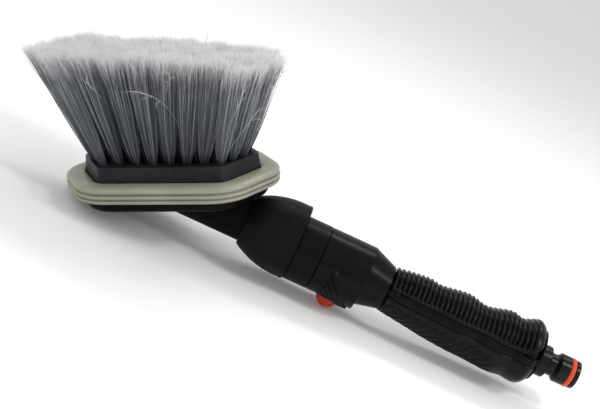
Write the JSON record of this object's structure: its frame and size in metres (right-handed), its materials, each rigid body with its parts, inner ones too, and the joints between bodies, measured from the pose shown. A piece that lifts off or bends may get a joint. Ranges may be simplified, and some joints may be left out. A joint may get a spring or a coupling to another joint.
{
  "type": "wheel brush",
  "caption": "Water-fed wheel brush: flared bristle tufts on a hexagonal block with a rubber bumper, leaning on a lockable swivel above a push-button valve handle with a hose nipple.",
  "frame": {"origin": "centre of the hose nipple's mouth", "axes": "+X out of the nipple along the handle, +Z towards the bristle side, XZ is the plane of symmetry"},
  "size_m": [0.3699, 0.0848, 0.1255],
  "materials": {
    "block_plastic": "moulded, slightly scuffed",
    "bumper_rubber": "soft matte",
    "shell_plastic": "moulded, satin",
    "collar_plastic": "fine grain",
    "ring_plastic": "smooth",
    "handle_plastic": "smooth, semi-gloss",
    "grip_rubber": "soft touch",
    "nipple_plastic": "smooth",
    "inner_plastic": "moulded",
    "seal_rubber": "matte",
    "orange_rubber": "satin",
    "orange_plastic": "smooth",
    "bristle": "flagged filaments, dark root and pale tip",
    "steel": "plain"
  },
  "bodies": {
    "handle": {"friction_washer": "inner_plastic", "front_ring": "ring_plastic", "handle_body": "handle_plastic", "grip_ribbed_pad": "grip_rubber", "grip_lower_pad": "grip_rubber", "button_bezel": "ring_plastic", "valve_block": "inner_plastic", "valve_spring": "steel", "ring_seal": "seal_rubber", "inlet_tube": "inner_plastic", "hose_nipple": "nipple_plastic", "nipple_o_ring": "orange_rubber", "nipple_washer": "seal_rubber", "inlet_filter": "inner_plastic"},
    "head": {"brush_block": "block_plastic", "bumper": "bumper_rubber", "back_shell": "shell_plastic", "chamber_gasket": "seal_rubber", "shell_screws": "steel", "tuft_row_1": "bristle", "tuft_row_2": "bristle", "tuft_row_3": "bristle", "tuft_row_4": "bristle", "tuft_row_5": "bristle", "tuft_row_6": "bristle", "tuft_row_7": "bristle", "swivel_spigot": "inner_plastic", "spigot_o_rings": "seal_rubber"},
    "collar": {"lock_collar": "collar_plastic"},
    "button": {"valve_button": "orange_plastic", "valve_spool": "inner_plastic", "spool_o_rings": "seal_rubber"}
  },
  "joints": [
    {"name": "head_swivel", "type": "hinge", "parent": "handle", "child": "head", "pos_m": [-0.2, 0, 0.0022], "axis": [1, 0, 0], "continuous": true},
    {"name": "collar_turn", "type": "hinge", "parent": "handle", "child": "collar", "pos_m": [-0.195, 0, 0.0022], "axis": [1, 0, 0], "range_deg": [0, 360]},
    {"name": "button_press", "type": "slide", "parent": "handle", "child": "button", "axis": [0, 0, 1], "range_m": [0, 0.004], "stiffness_N_per_m": 1200, "springref_m": -0.004, "deforming": ["valve_spring"]}
  ]
}
